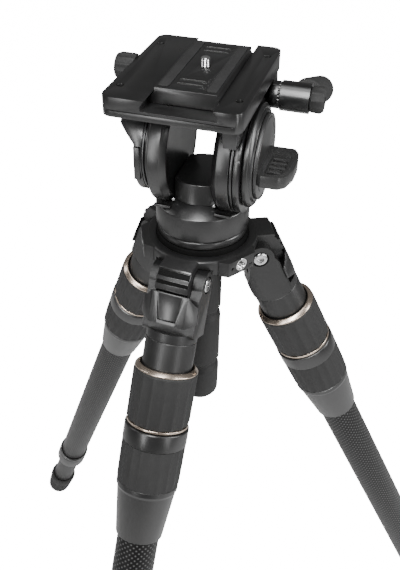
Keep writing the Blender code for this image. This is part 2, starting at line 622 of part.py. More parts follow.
def make_pan_handle(tilt):
    """The rear bracket, and the handle that swings up and down on its toothed joint."""
    x, y, z = PAN_HANDLE_PIVOT
    height = z - TILT_HEIGHT
    top = PLATFORM_BOTTOM - TILT_HEIGHT - GAP
    bracket = [(37.3, top), (37.3, height + 4), (y - 1.5, height - 9), (y + 6, height - 10)]
    bracket += [(y + 11, height - 4), (y + 11, height + 6), (y + 8, top)]
    bracket_solid = solid("handle_bracket", prism(bracket, 32.0, 40.6, axis="x"), charcoal, tilt)
    rosette = along_x(rod(10.0, 39.0, 46.0), (0, y, height))
    combine(bracket_solid, solid("rosette", rosette), "UNION")
    combine(bracket_solid, solid("hole", along_x(rod(3.3, 20, 60, 16), (0, y, height))))

    swing = empty("pan_handle_swing", tilt, (0, y, height), (math.radians(-PAN_HANDLE_SLOPE), 0, 0))
    clamp = solid("handle_clamp", along_x(rod(11.0, 46.4, x + 10.7)), charcoal, swing)
    socket = turned([(0, 0), (10.5, 0), (10.5, 30), (9.5, 31), (0, 31)], 24)
    turn = Matrix.Translation((x, 0, 0)) @ Matrix.Rotation(math.radians(-90), 4, "X")
    bmesh.ops.transform(socket, matrix=turn, verts=socket.verts)
    combine(clamp, solid("socket", socket), "UNION")
    bore = rod(7.3, 13.5, 40)
    bmesh.ops.transform(bore, matrix=turn, verts=bore.verts)
    combine(clamp, solid("bore", bore))
    combine(clamp, solid("hole", along_x(rod(3.4, 20, 80, 16))))
    bar = turned([(0, 14), (7.0, 14), (7.0, 150), (0, 150)], 20)
    bmesh.ops.transform(bar, matrix=turn, verts=bar.verts)
    solid("pan_handle_bar", bar, carbon, swing)
    grip = [(7.3, 62), (11.0, 62), (12.5, 66), (12.5, 145), (11.5, 156), (7.0, 160), (0, 160)]
    grip += [(0, 150.4), (7.3, 150.4)]
    grip_mesh = turned(grip, 20)
    bmesh.ops.transform(grip_mesh, matrix=turn, verts=grip_mesh.verts)
    solid("pan_handle_grip", grip_mesh, black_rubber, swing)
    knob_turn = empty("handle_knob_turn", tilt, (0, y, height))
    knob = [(0, 36.0), (3.0, 36.0), (3.0, x + 11), (9.0, x + 11), (10.0, x + 12), (10.0, x + 19)]
    knob += [(8.0, x + 21), (0, x + 21)]
    solid("handle_clamp_knob", along_x(turned(knob, 18)), black_rubber, knob_turn)


def make_head(level):
    pan = empty("pan", level, (0, 0, 0), (0, 0, math.radians(PAN_REST)))
    make_housing(pan)
    make_drum("tilt_drum_left", -1, pan)
    make_drum("tilt_drum_right", 1, pan)
    make_axles(pan)
    make_tilt_controls(pan)
    tilt = empty("tilt", pan, (0, 0, TILT_HEIGHT))
    make_arm("cradle_arm_left", -1, LEFT_ARM_OUTER, tilt)
    make_arm("cradle_arm_right", 1, RIGHT_ARM_OUTER, tilt)
    make_platform(tilt)
    make_pan_handle(tilt)


def stand_on_origin(root):
    """Moves the whole tripod so that the origin is on the ground, in the middle of its outer box."""
    bpy.context.view_layer.update()
    corners = []
    for made in bpy.data.objects:
        if made.type == "MESH":
            corners += [made.matrix_world @ vertex.co for vertex in made.data.vertices]
    low = Vector([min(corner[axis] for corner in corners) for axis in range(3)])
    high = Vector([max(corner[axis] for corner in corners) for axis in range(3)])
    root.location = Vector((-(low.x + high.x) / 2, -(low.y + high.y) / 2, -low.z))
    bpy.context.view_layer.update()


def main():
    clear_scene()
    rim = empty("rim", None)
    make_spider(rim)
    for name, azimuth in zip(LEG_NAMES, LEG_AZIMUTHS):
        make_leg(name, azimuth, rim)
    level = make_levelling(rim)
    make_head(level)
    stand_on_origin(rim)


main()
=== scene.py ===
"""Looks for a video tripod with a fluid head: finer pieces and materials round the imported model.

Shapes are drawn in millimetres in their own frame. The rim frame has its origin in the middle of the
bowl's rim. A leg's frame has its origin on the hinge pin, X along the pin, -Y outwards and -Z down the
leg. The tilt frame has its origin on the tilt axis, X along it, and turns with the head's rest angle.
"""

import json
import math

import bmesh
import bpy
from mathutils import Matrix, Vector


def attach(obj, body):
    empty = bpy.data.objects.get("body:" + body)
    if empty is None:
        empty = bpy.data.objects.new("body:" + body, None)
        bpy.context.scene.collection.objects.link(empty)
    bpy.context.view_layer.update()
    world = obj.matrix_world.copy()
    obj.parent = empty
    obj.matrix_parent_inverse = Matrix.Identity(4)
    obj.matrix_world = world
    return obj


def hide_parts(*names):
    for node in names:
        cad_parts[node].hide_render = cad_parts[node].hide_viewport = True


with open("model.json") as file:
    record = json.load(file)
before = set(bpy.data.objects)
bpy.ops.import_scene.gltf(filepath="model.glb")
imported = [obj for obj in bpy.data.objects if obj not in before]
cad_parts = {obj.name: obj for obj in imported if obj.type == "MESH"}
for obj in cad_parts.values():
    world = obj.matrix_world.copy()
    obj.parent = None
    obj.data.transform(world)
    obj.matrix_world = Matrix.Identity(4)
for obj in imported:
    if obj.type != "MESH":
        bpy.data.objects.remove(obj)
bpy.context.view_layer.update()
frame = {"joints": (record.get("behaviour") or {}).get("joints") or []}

MM = 0.001
COARSE = 48
FINE = 96
FINEST = 144
LEGS = ("leg_a", "leg_b", "leg_c")
LEG_AZIMUTHS = (-90.0, 30.0, 150.0)
SIDES = (("left", -1), ("right", 1))

# Spider, in millimetres and degrees.
BOWL_RADIUS = 36.6
SEAT_DEPTH = 12.0
RING_RADIUS = 44.0
ARM_ROOT = 39.6
ARM_TOP = -0.6
ARM_HALF = 12.8
PIN_REACH = 43.3
PIN_DROP = 17.8
PIN_HOLE = 4.3
CAM_RADIUS = 20.6
CAM_TOP_ANGLE = 56.6
CAM_RECESS = 1.5
CAM_RECESSES = ((36.9, 52.5), (20.0, 28.4), (-2.0, 7.3))
STOP_EDGES = ((52.0, 4.0), (35.4, 1.7), (28.2, 1.7), (18.6, 1.7), (7.0, 1.7), (-3.6, 1.7))
THREAD_DROP = 6.2
VIAL_REACH = 42.3

# Legs.
FORK_OUTER = 21.6
NECK_RADIUS = 20.0
LOCK_ROOM = 21.1
RING_BORE = 21.2
COLLAR_BORE = 17.75
TUBE_INNER, TUBE_OUTER = 15.85, 17.45
LOWER_INNER, LOWER_OUTER = 13.1, 14.6
LOWER_BORE = 14.9
FOOT_RADIUS = 17
FOOT_CENTRE = -756
FOOT_STEP = 8.4167

# Head.
BALL_RADIUS = 36.25
TILT_HEIGHT = 72.1
DRUM_ROOM = 42.8
DRUM_RADIUS = 42.5
AXLE_RADIUS, AXLE_BORE = 9, 9.3
LOCK_HEIGHT = 21.5
LOCK_AZIMUTH = 100
CRADLE_TOP = 43.2
LEFT_HUB, RIGHT_HUB = 36.2, 42.2
SWING_X, SWING_Y, SWING_HEIGHT = 57.0, 42.0, 28.9
SWING_SLOPE = -20


# ---------------------------------------------------------------- frames

joints = {joint["name"]: joint for joint in frame["joints"]}
UP = Vector((0, 0, 1))


def basis(x, z, place):
    """A frame from its X and Z directions and its origin."""
    y = z.cross(x)
    matrix = Matrix((x, y, z)).transposed().to_4x4()
    matrix.translation = place
    return matrix


def leg_basis(name):
    x = -Vector(joints[name + "_fold"]["axis"]).normalized()
    z = -Vector(joints[name + "_extend"]["axis"]).normalized()
    return basis(x, z, Vector(joints[name + "_fold"]["pos_m"]))


RIM_AT = Vector(joints["head_level"]["pos_m"])
RIM = Matrix.Translation(RIM_AT)
HEAD = basis(Vector(joints["tilt_turn"]["axis"]).normalized(), UP, RIM_AT)
TILT = HEAD @ Matrix.Translation((0, 0, TILT_HEIGHT * MM))
ALONG_X = Matrix.Rotation(math.radians(90), 4, "Y")
ALONG_Y = Matrix.Rotation(math.radians(-90), 4, "X")
UPRIGHT = Matrix.Rotation(math.radians(90), 4, "X")
AXLE = TILT @ ALONG_X
LEG = {name: leg_basis(name) for name in LEGS}


def moved(matrix, x, y, z):
    """The frame carried along its own axes, in millimetres."""
    return matrix @ Matrix.Translation((x * MM, y * MM, z * MM))


# ---------------------------------------------------------------- materials

def add(tree, kind, inputs=None, **settings):
    """A new node with its settings; an input is a plain value or another node's output."""
    made = tree.nodes.new(kind)
    for key, value in settings.items():
        setattr(made, key, value)
    for key, value in (inputs or {}).items():
        if isinstance(value, bpy.types.NodeSocket):
            tree.links.new(value, made.inputs[key])
        else:
            made.inputs[key].default_value = value
    return made


def maths(tree, operation, first, second=0.0, third=0.0):
    return add(tree, "ShaderNodeMath", {0: first, 1: second, 2: third}, operation=operation).outputs[0]


def grey(level):
    return (level, level, level, 1.0)


def spread(tree, value, low, high):
    """A noise's middle range stretched to run from low to high."""
    inputs = {"Value": value, "From Min": 0.3, "From Max": 0.7, "To Min": low, "To Max": high}
    return add(tree, "ShaderNodeMapRange", inputs).outputs["Result"]


PATCH_SCALE = 60.0
MARK_SCALE = 2600.0
FIBRE_SCALE = 3200.0


def surface(name, dark, light, rough, metallic, grain, bump, turned=0.0, coat=0.0):
    """Two mottled tones, uneven roughness, a fine grain, and turning marks where a lathe left them."""
    made = bpy.data.materials.new(name)
    made.use_nodes = True
    tree = made.node_tree
    shader = tree.nodes["Principled BSDF"]
    place = add(tree, "ShaderNodeTexCoord").outputs["Object"]
    large = {"Vector": place, "Scale": PATCH_SCALE, "Detail": 5.0, "Roughness": 0.6}
    patches = add(tree, "ShaderNodeTexNoise", large).outputs[0]
    fine = add(tree, "ShaderNodeTexNoise", {"Vector": place, "Scale": grain, "Detail": 3.0}).outputs[0]
    level = maths(tree, "MULTIPLY_ADD", fine, 0.35, maths(tree, "MULTIPLY", patches, 0.65))
    share = spread(tree, level, 0.0, 1.0)
    tone = add(tree, "ShaderNodeMix", {"Factor": share, "A": dark, "B": light}, data_type="RGBA")
    tree.links.new(tone.outputs["Result"], shader.inputs["Base Color"])
    shader.inputs["Metallic"].default_value = metallic
    roughness = spread(tree, patches, rough - 0.02, rough + 0.03)
    height = fine
    if turned:
        parts = add(tree, "ShaderNodeSeparateXYZ", {0: place})
        radius = maths(tree, "SQRT", maths(tree, "ADD", maths(tree, "POWER", parts.outputs[0], 2.0),
                                           maths(tree, "POWER", parts.outputs[1], 2.0)))
        rings = add(tree, "ShaderNodeCombineXYZ", {0: radius, 2: parts.outputs[2]}).outputs[0]
        streaks = {"Vector": rings, "Scale": MARK_SCALE, "Detail": 2.0}
        marks = add(tree, "ShaderNodeTexNoise", streaks).outputs[0]
        height = maths(tree, "MULTIPLY_ADD", marks, turned, height)
        roughness = maths(tree, "MULTIPLY_ADD", marks, 0.06, maths(tree, "SUBTRACT", roughness, 0.03))
    tree.links.new(roughness, shader.inputs["Roughness"])
    relief = add(tree, "ShaderNodeBump", {"Height": height, "Strength": bump, "Distance": 0.00012})
    tree.links.new(relief.outputs[0], shader.inputs["Normal"])
    shader.inputs["Coat Weight"].default_value = coat
    shader.inputs["Coat Roughness"].default_value = 0.22
    return made


def weave(name, pitch=2.3, strands=44.0):
    """Carbon cloth wrapped round the tube: strands in a plain over-and-under weave, pitch millimetres long,
    with a painted sheen on the strands.
    """
    made = bpy.data.materials.new(name)
    made.use_nodes = True
    tree = made.node_tree
    shader = tree.nodes["Principled BSDF"]
    place = add(tree, "ShaderNodeTexCoord").outputs["Object"]
    parts = add(tree, "ShaderNodeSeparateXYZ", {0: place})
    angle = maths(tree, "ARCTAN2", parts.outputs[0], parts.outputs[1])
    around = maths(tree, "MULTIPLY", angle, strands / (2 * math.pi))
    along = maths(tree, "DIVIDE", parts.outputs[2], pitch * MM)
    column = maths(tree, "FLOOR", around)
    row = maths(tree, "FLOOR", along)
    step = maths(tree, "FLOORED_MODULO", maths(tree, "ADD", column, row), 2.0)
    over = maths(tree, "LESS_THAN", step, 0.5)
    across = maths(tree, "PINGPONG", around, 0.5)
    down = maths(tree, "PINGPONG", along, 0.5)
    warp = maths(tree, "MULTIPLY", over, across)
    weft = maths(tree, "MULTIPLY", maths(tree, "SUBTRACT", 1.0, over), down)
    hump = maths(tree, "ADD", warp, weft)
    fibre = add(tree, "ShaderNodeTexNoise", {"Vector": place, "Scale": FIBRE_SCALE, "Detail": 2.0}).outputs[0]
    # Painted sheen: the over strands get a lighter tone that peaks in their middle, in place of the light the
    # fibres catch. The fine fibre noise is the cloth's own grain.
    dot = maths(tree, "MULTIPLY", over, maths(tree, "MULTIPLY", maths(tree, "MULTIPLY", across, down), 4.0))
    share = maths(tree, "MULTIPLY_ADD", dot, 0.9, maths(tree, "MULTIPLY", fibre, 0.12))
    ramp = add(tree, "ShaderNodeValToRGB", {0: share})
    # The ramp runs from the cloth's near black up to the tone of the painted sheen.
    for stop, (position, tone) in zip(ramp.color_ramp.elements, ((0.15, 0.004), (0.75, 0.105))):
        stop.position = position
        stop.color = grey(tone)
    tree.links.new(ramp.outputs[0], shader.inputs["Base Color"])
    tree.links.new(maths(tree, "MULTIPLY_ADD", fibre, 0.15, 0.34), shader.inputs["Roughness"])
    shader.inputs["Specular IOR Level"].default_value = 0.25
    height = maths(tree, "MULTIPLY_ADD", fibre, 0.2, hump)
    relief = add(tree, "ShaderNodeBump", {"Height": height, "Strength": 0.35, "Distance": 0.0001})
    tree.links.new(relief.outputs[0], shader.inputs["Normal"])
    shader.inputs["Coat Weight"].default_value = 0.04
    shader.inputs["Coat Roughness"].default_value = 0.25
    return made


# name, darker tone, lighter tone, roughness, metallic, grain scale, bump
CAST = surface("cast_charcoal", grey(0.057), grey(0.066), 0.40, 0.85, 3800.0, 0.12)
TURNED = surface("turned_charcoal", grey(0.078), grey(0.088), 0.31, 0.92, 2600.0, 0.06, turned=0.5)
SATIN = surface("satin_charcoal", grey(0.086), grey(0.098), 0.29, 0.95, 3200.0, 0.04)
# Painted shade: near black with almost no gloss. Used for the ball seen down the gap under the flange and for
# the arm noses between the stop edges, in place of the shade in those hollows.
PAINTED_SHADE = surface("shadow_black", grey(0.003), grey(0.006), 0.60, 0.0, 2600.0, 0.30)
PAINTED_SHADE.node_tree.nodes["Principled BSDF"].inputs["Specular IOR Level"].default_value = 0.1
DARK = surface("dark_anodised", grey(0.030), grey(0.045), 0.30, 0.85, 3000.0, 0.10, turned=0.5)
RUBBER = surface("black_rubber", grey(0.012), grey(0.020), 0.66, 0.0, 1900.0, 0.40)
MOULDED = surface("moulded_black", grey(0.016), grey(0.026), 0.36, 0.0, 2600.0, 0.20, coat=0.35)
STEEL = surface("bright_steel", grey(0.62), grey(0.78), 0.16, 1.0, 2400.0, 0.05, turned=0.3)
CHAMPAGNE = surface("champagne_ring", (0.60, 0.49, 0.40, 1), (0.76, 0.65, 0.55, 1), 0.26, 1.0, 2400.0, 0.04,
                    turned=0.3)
CARBON = weave("carbon_twill")
GLOW = surface("vial_liquid", (0.30, 0.52, 0.05, 1), (0.45, 0.68, 0.10, 1), 0.12, 0.0, 900.0, 0.05,
               coat=0.6)


# ---------------------------------------------------------------- shapes, in millimetres

def rounded(points):
    """Points (a, b) or (a, b, radius): each corner with a radius becomes an arc."""
    out = []
    count = len(points)
    for index, point in enumerate(points):
        here = Vector(point[:2])
        radius = point[2] if len(point) > 2 else 0
        if not radius:
            out.append(tuple(here))
            continue
        before = Vector(points[index - 1][:2]) - here
        after = Vector(points[(index + 1) % count][:2]) - here
        half = before.angle(after) / 2
        reach = min(radius / math.tan(half), before.length * 0.49, after.length * 0.49)
        radius = reach * math.tan(half)
        before.normalize()
        after.normalize()
        centre = here + (before + after).normalized() * radius / math.sin(half)
        start = here + before * reach - centre
        end = here + after * reach - centre
        turn = math.atan2(start.x * end.y - start.y * end.x, start.dot(end))
        steps = max(2, round(abs(turn) / 0.35))
        for step in range(steps + 1):
            spin = turn * step / steps
            c, s = math.cos(spin), math.sin(spin)
            out.append((centre.x + start.x * c - start.y * s, centre.y + start.x * s + start.y * c))
    return out


def arc(centre, radius, start, end, steps):
    """Points on an arc, in degrees from start to end."""
    points = []
    for step in range(steps + 1):
        angle = math.radians(start + (end - start) * step / steps)
        points.append((centre[0] + radius * math.cos(angle), centre[1] + radius * math.sin(angle)))
    return points


def lathe(profile, segments=FINE):
    """A closed profile of (radius, height[, corner radius]), turned about Z."""
    bm = bmesh.new()
    rings = []
    for radius, height in rounded(profile):
        if radius < 1e-6:
            rings.append([bm.verts.new((0, 0, height))])
            continue
        ring = []
        for step in range(segments):
            angle = 2 * math.pi * step / segments
            ring.append(bm.verts.new((radius * math.cos(angle), radius * math.sin(angle), height)))
        rings.append(ring)
    for first, second in zip(rings, rings[1:] + rings[:1]):
        if len(first) == 1 and len(second) == 1:
            continue
        for step in range(segments):
            after = (step + 1) % segments
            corners = [first[step % len(first)], first[after % len(first)]]
            corners += [second[after % len(second)], second[step % len(second)]]
            bm.faces.new(list(dict.fromkeys(corners)))
    return bm


def scalloped(stations, bore, count, per=10, land=0.16):
    """A sleeve with flutes along it. Stations are (height, radius, flute depth), from end to end."""
    bm = bmesh.new()
    total = count * per
    rings = []
    first, last = stations[0], stations[-1]
    rows = [(first[0], bore, 0)] + list(stations) + [(last[0], bore, 0)]
    for height, radius, depth in rows:
        ring = []
        for step in range(total):
            phase = (step % per) / per
            cut = 0.0
            if phase > land:
                cut = math.sin(math.pi * (phase - land) / (1 - land)) ** 0.75
            reach = radius - depth * cut
            angle = 2 * math.pi * step / total
            ring.append(bm.verts.new((reach * math.cos(angle), reach * math.sin(angle), height)))
        rings.append(ring)
    for low, high in zip(rings, rings[1:] + rings[:1]):
        for step in range(total):
            after = (step + 1) % total
            bm.faces.new((low[step], low[after], high[after], high[step]))
    return bm


def prism(outline, low, high, axis="z"):
    """A flat outline pushed along an axis: (x, y) along z, (y, z) along x, (x, z) along y."""
    order = {
        "z": lambda a, b, t: (a, b, t),
        "x": lambda a, b, t: (t, a, b),
        "y": lambda a, b, t: (a, t, b),
    }[axis]
    points = rounded(outline)
    bm = bmesh.new()
    bottom = [bm.verts.new(order(a, b, low)) for a, b in points]
    top = [bm.verts.new(order(a, b, high)) for a, b in points]
    bm.faces.new(bottom)
    bm.faces.new(top)
    for step in range(len(points)):
        after = (step + 1) % len(points)
        bm.faces.new((bottom[step], bottom[after], top[after], top[step]))
    return bm


def block(low, high, corner=0.0):
    """A box between two corners; its upright edges can be rounded."""
    x0, y0, z0 = low
    x1, y1, z1 = high
    return prism([(x0, y0, corner), (x1, y0, corner), (x1, y1, corner), (x0, y1, corner)], z0, z1)


def rod(radius, low, high, segments=64):
    return lathe([(0, low), (radius, low), (radius, high), (0, high)], segments)


def put(bm, matrix=None, x=0, y=0, z=0):
    """Turns a mesh and then moves it."""
    turn = Matrix.Translation((x, y, z)) @ (matrix or Matrix.Identity(4))
    bmesh.ops.transform(bm, matrix=turn, verts=bm.verts)
    return bm


def about_z(bm, degrees):
    return put(bm, Matrix.Rotation(math.radians(degrees), 4, "Z"))


def raw(name, bm):
    """A mesh object from a shape in millimetres."""
    bmesh.ops.recalc_face_normals(bm, faces=bm.faces)
    bmesh.ops.transform(bm, matrix=Matrix.Scale(MM, 4), verts=bm.verts)
    mesh = bpy.data.meshes.new(name)
    bm.to_mesh(mesh)
    bm.free()
    made = bpy.data.objects.new(name, mesh)
    bpy.context.scene.collection.objects.link(made)
    return made


def piece(name, bm, look, place, body, nodes, edge=0.3, joins=(), cuts=(), keeps=(), sharp=38):
    """One finished piece: keeps, joins and cuts are tools in the same frame; edge is its bevel."""
    made = raw(name, bm)
    tools = []
    for operation, group in (("INTERSECT", keeps), ("UNION", joins), ("DIFFERENCE", cuts)):
        for tool_mesh in group:
            tool = raw("tool", tool_mesh)
            modifier = made.modifiers.new("shape", "BOOLEAN")
            modifier.operation = operation
            modifier.solver = "EXACT"
            modifier.object = tool
            tools.append(tool)
    if edge:
        bevel = made.modifiers.new("edge", "BEVEL")
        bevel.width = edge * MM
        bevel.segments = 2
        bevel.limit_method = "ANGLE"
        bevel.angle_limit = math.radians(sharp)
        bevel.use_clamp_overlap = True
    graph = bpy.context.evaluated_depsgraph_get()
    mesh = bpy.data.meshes.new_from_object(made.evaluated_get(graph))
    made.modifiers.clear()
    made.data = mesh
    for tool in tools:
        bpy.data.objects.remove(tool, do_unlink=True)
    mesh.materials.clear()
    mesh.materials.append(look)
    mesh.shade_smooth()
    mesh.set_sharp_from_angle(angle=math.radians(sharp))
    made.matrix_world = place
    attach(made, body)
    if nodes:
        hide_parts(*nodes)
    return made


# ---------------------------------------------------------------- spider

def bowl_ring():
    seat = []
    for step in range(7):
        depth = SEAT_DEPTH * step / 6
        seat.append((math.sqrt(BOWL_RADIUS ** 2 - depth ** 2), -depth))
    outside = [(RING_RADIUS, -SEAT_DEPTH, 0.8), (RING_RADIUS, 0, 2.2)]
    return lathe(seat + outside, FINEST)


def arm_outline():
    """Side view of a leg's arm as (outwards, up), with the toothed nose."""
    centre = (PIN_REACH, -PIN_DROP)
    points = [(ARM_ROOT, -10.5), (ARM_ROOT, ARM_TOP)]
    points.append((centre[0] + CAM_RADIUS * math.cos(math.radians(CAM_TOP_ANGLE)), ARM_TOP))
    for low, high in CAM_RECESSES:
        points += arc(centre, CAM_RADIUS, high + 2.6, high, 2)
        points += arc(centre, CAM_RADIUS - CAM_RECESS, high - 0.8, low + 0.8, 6)
        points += arc(centre, CAM_RADIUS, low, low - 2.6, 2)
    points += arc(centre, CAM_RADIUS, -7, -14, 3)
    points += [(PIN_REACH + 8, -PIN_DROP - 12, 2), (PIN_REACH, -PIN_DROP - 13, 3)]
    points.append((PIN_REACH - 7, -PIN_DROP - 9, 2))
    return points


def make_spider():
    joins = []
    cuts = []
    for azimuth in LEG_AZIMUTHS:
        joins.append(about_z(prism(arm_outline(), -ARM_HALF, ARM_HALF, "y"), azimuth))
        flat = [(ARM_ROOT, -17.5), (41.0, -17.5, 1.5), (47.5, -12.5, 1.2), (47.5, 12.5, 1.2), (41.0, 17.5, 1.5)]
        flat.append((ARM_ROOT, 17.5))
        joins.append(about_z(prism(flat, -13.0, -0.4), azimuth + 60))
        hole = put(rod(PIN_HOLE, -14, 14, 32), UPRIGHT, PIN_REACH, 0, -PIN_DROP)
        cuts.append(about_z(hole, azimuth))
        for _, side in SIDES:
            low, high = sorted((side * (ARM_HALF + 0.01), side * 23.2))
            room = prism(arc((PIN_REACH, -PIN_DROP), 11.9, 0, 354, 47), low, high, "y")
            cuts.append(about_z(room, azimuth))
        cuts.append(about_z(put(rod(5.55, 0, 8, COARSE), ALONG_X, 40.4, 0, -THREAD_DROP), azimuth + 60))
        cuts.append(about_z(block((47.0, 7.4, -9.6), (49, 10.6, -8.2)), azimuth + 60))
        cuts.append(about_z(put(rod(1.2, 0, 6, 24), ALONG_X, 43.5, -9.0, -6.6), azimuth + 60))
    cuts.append(put(rod(3.9, -3.0, 4.0, 32), None, 0, VIAL_REACH, 0))
    piece("spider_casting", bowl_ring(), CAST, RIM, "base", ["spider"], 0.45, joins, cuts)

    thread = [(5.3, 0), (5.3, 6.6, 0.5), (4.0, 6.6, 0.5), (3.7, 5.9)]
    for turn in range(7):
        thread += [(3.2, 5.5 - turn * 0.8), (3.7, 5.1 - turn * 0.8)]
    thread.append((3.2, 0))
    insert = about_z(put(lathe(thread, 64), ALONG_X, 40.8, 0, -THREAD_DROP), -30)
    piece("accessory_insert", insert, STEEL, RIM, "base", ["accessory_thread"], 0)
    for name, azimuth in zip(LEGS, LEG_AZIMUTHS):
        place = moved(RIM @ Matrix.Rotation(math.radians(azimuth), 4, "Z"), PIN_REACH, 0, -PIN_DROP)
        # Painted shade: a near-black drum fills each nose between the stop edges, in place of the shade in the
        # recesses.
        drum = arc((0, 0), CAM_RADIUS - 1.0, -14, 50.5, 28) + [(8, 10), (8, -6)]
        piece("stop_drum_" + name[-1], prism(drum, -12.5, 12.5, "y"), PAINTED_SHADE, place, "base", [], 0.3)
        for step, (angle, width) in enumerate(STOP_EDGES):
            edge = arc((0, 0), CAM_RADIUS + 0.15, angle, angle + width, 3)
            edge += arc((0, 0), CAM_RADIUS - 2.0, angle + width, angle, 3)
            label = "stop_edge_%s_%d" % (name[-1], step + 1)
            piece(label, prism(edge, -12.6, 12.6, "y"), SATIN, place, "base", [], 0.2)
    rim = lathe([(0, -2.7), (3.6, -2.7), (3.6, 1.0, 0.4), (2.8, 1.2, 0.3), (2.5, 0.5), (0, 0.4)], 64)
    rim = put(rim, None, 0, VIAL_REACH, 0)
    piece("level_vial_rim", rim, DARK, RIM, "base", ["bubble_level"], 0)
    vial = lathe([(0, 0.45), (2.5, 0.55), (2.2, 0.95, 0.3), (0, 1.15)], COARSE)
    piece("level_vial", put(vial, None, 0, VIAL_REACH, 0), GLOW, RIM, "base", [], 0)


# ---------------------------------------------------------------- legs

def ear_outline():
    """Side view of the fork: the round eye and the body under it, with a seat for the lock."""
    points = arc((0, 0), 11.2, -20, 200, 28)
    points += [(-12.5, -11, 1.5), (-12.5, -42, 4), (19.4, -42, 6), (19.4, -25, 5)]
    return points


def scoop():
    """The thumb scoop: no depth at the top, a rounded floor, and a lip at the bottom."""
    bm = bmesh.new()
    columns = 14
    front, back = [], []
    for step in range(columns + 1):
        share = step / columns
        swell = 1.0 - (2 * share - 1) ** 2
        top = (-10.4 + 21.6 * share, -9.0)
        low = (-6.6 + 14.2 * share, -29.4)
        back.append((bm.verts.new((top[0], -20.75 + 0.9 * swell, top[1])),
                     bm.verts.new((low[0], -18.6 + 0.9 * swell, low[1]))))
        front.append((bm.verts.new((top[0], -24.0, top[1])), bm.verts.new((low[0], -24.0, low[1]))))
    for step in range(columns):
        bm.faces.new((back[step][0], back[step + 1][0], back[step + 1][1], back[step][1]))
        bm.faces.new((front[step][0], front[step][1], front[step + 1][1], front[step + 1][0]))
        bm.faces.new((back[step][0], front[step][0], front[step + 1][0], back[step + 1][0]))
        bm.faces.new((back[step][1], back[step + 1][1], front[step + 1][1], front[step][1]))
    bm.faces.new((back[0][0], back[0][1], front[0][1], front[0][0]))
    bm.faces.new((back[-1][0], front[-1][0], front[-1][1], back[-1][1]))
    return bm


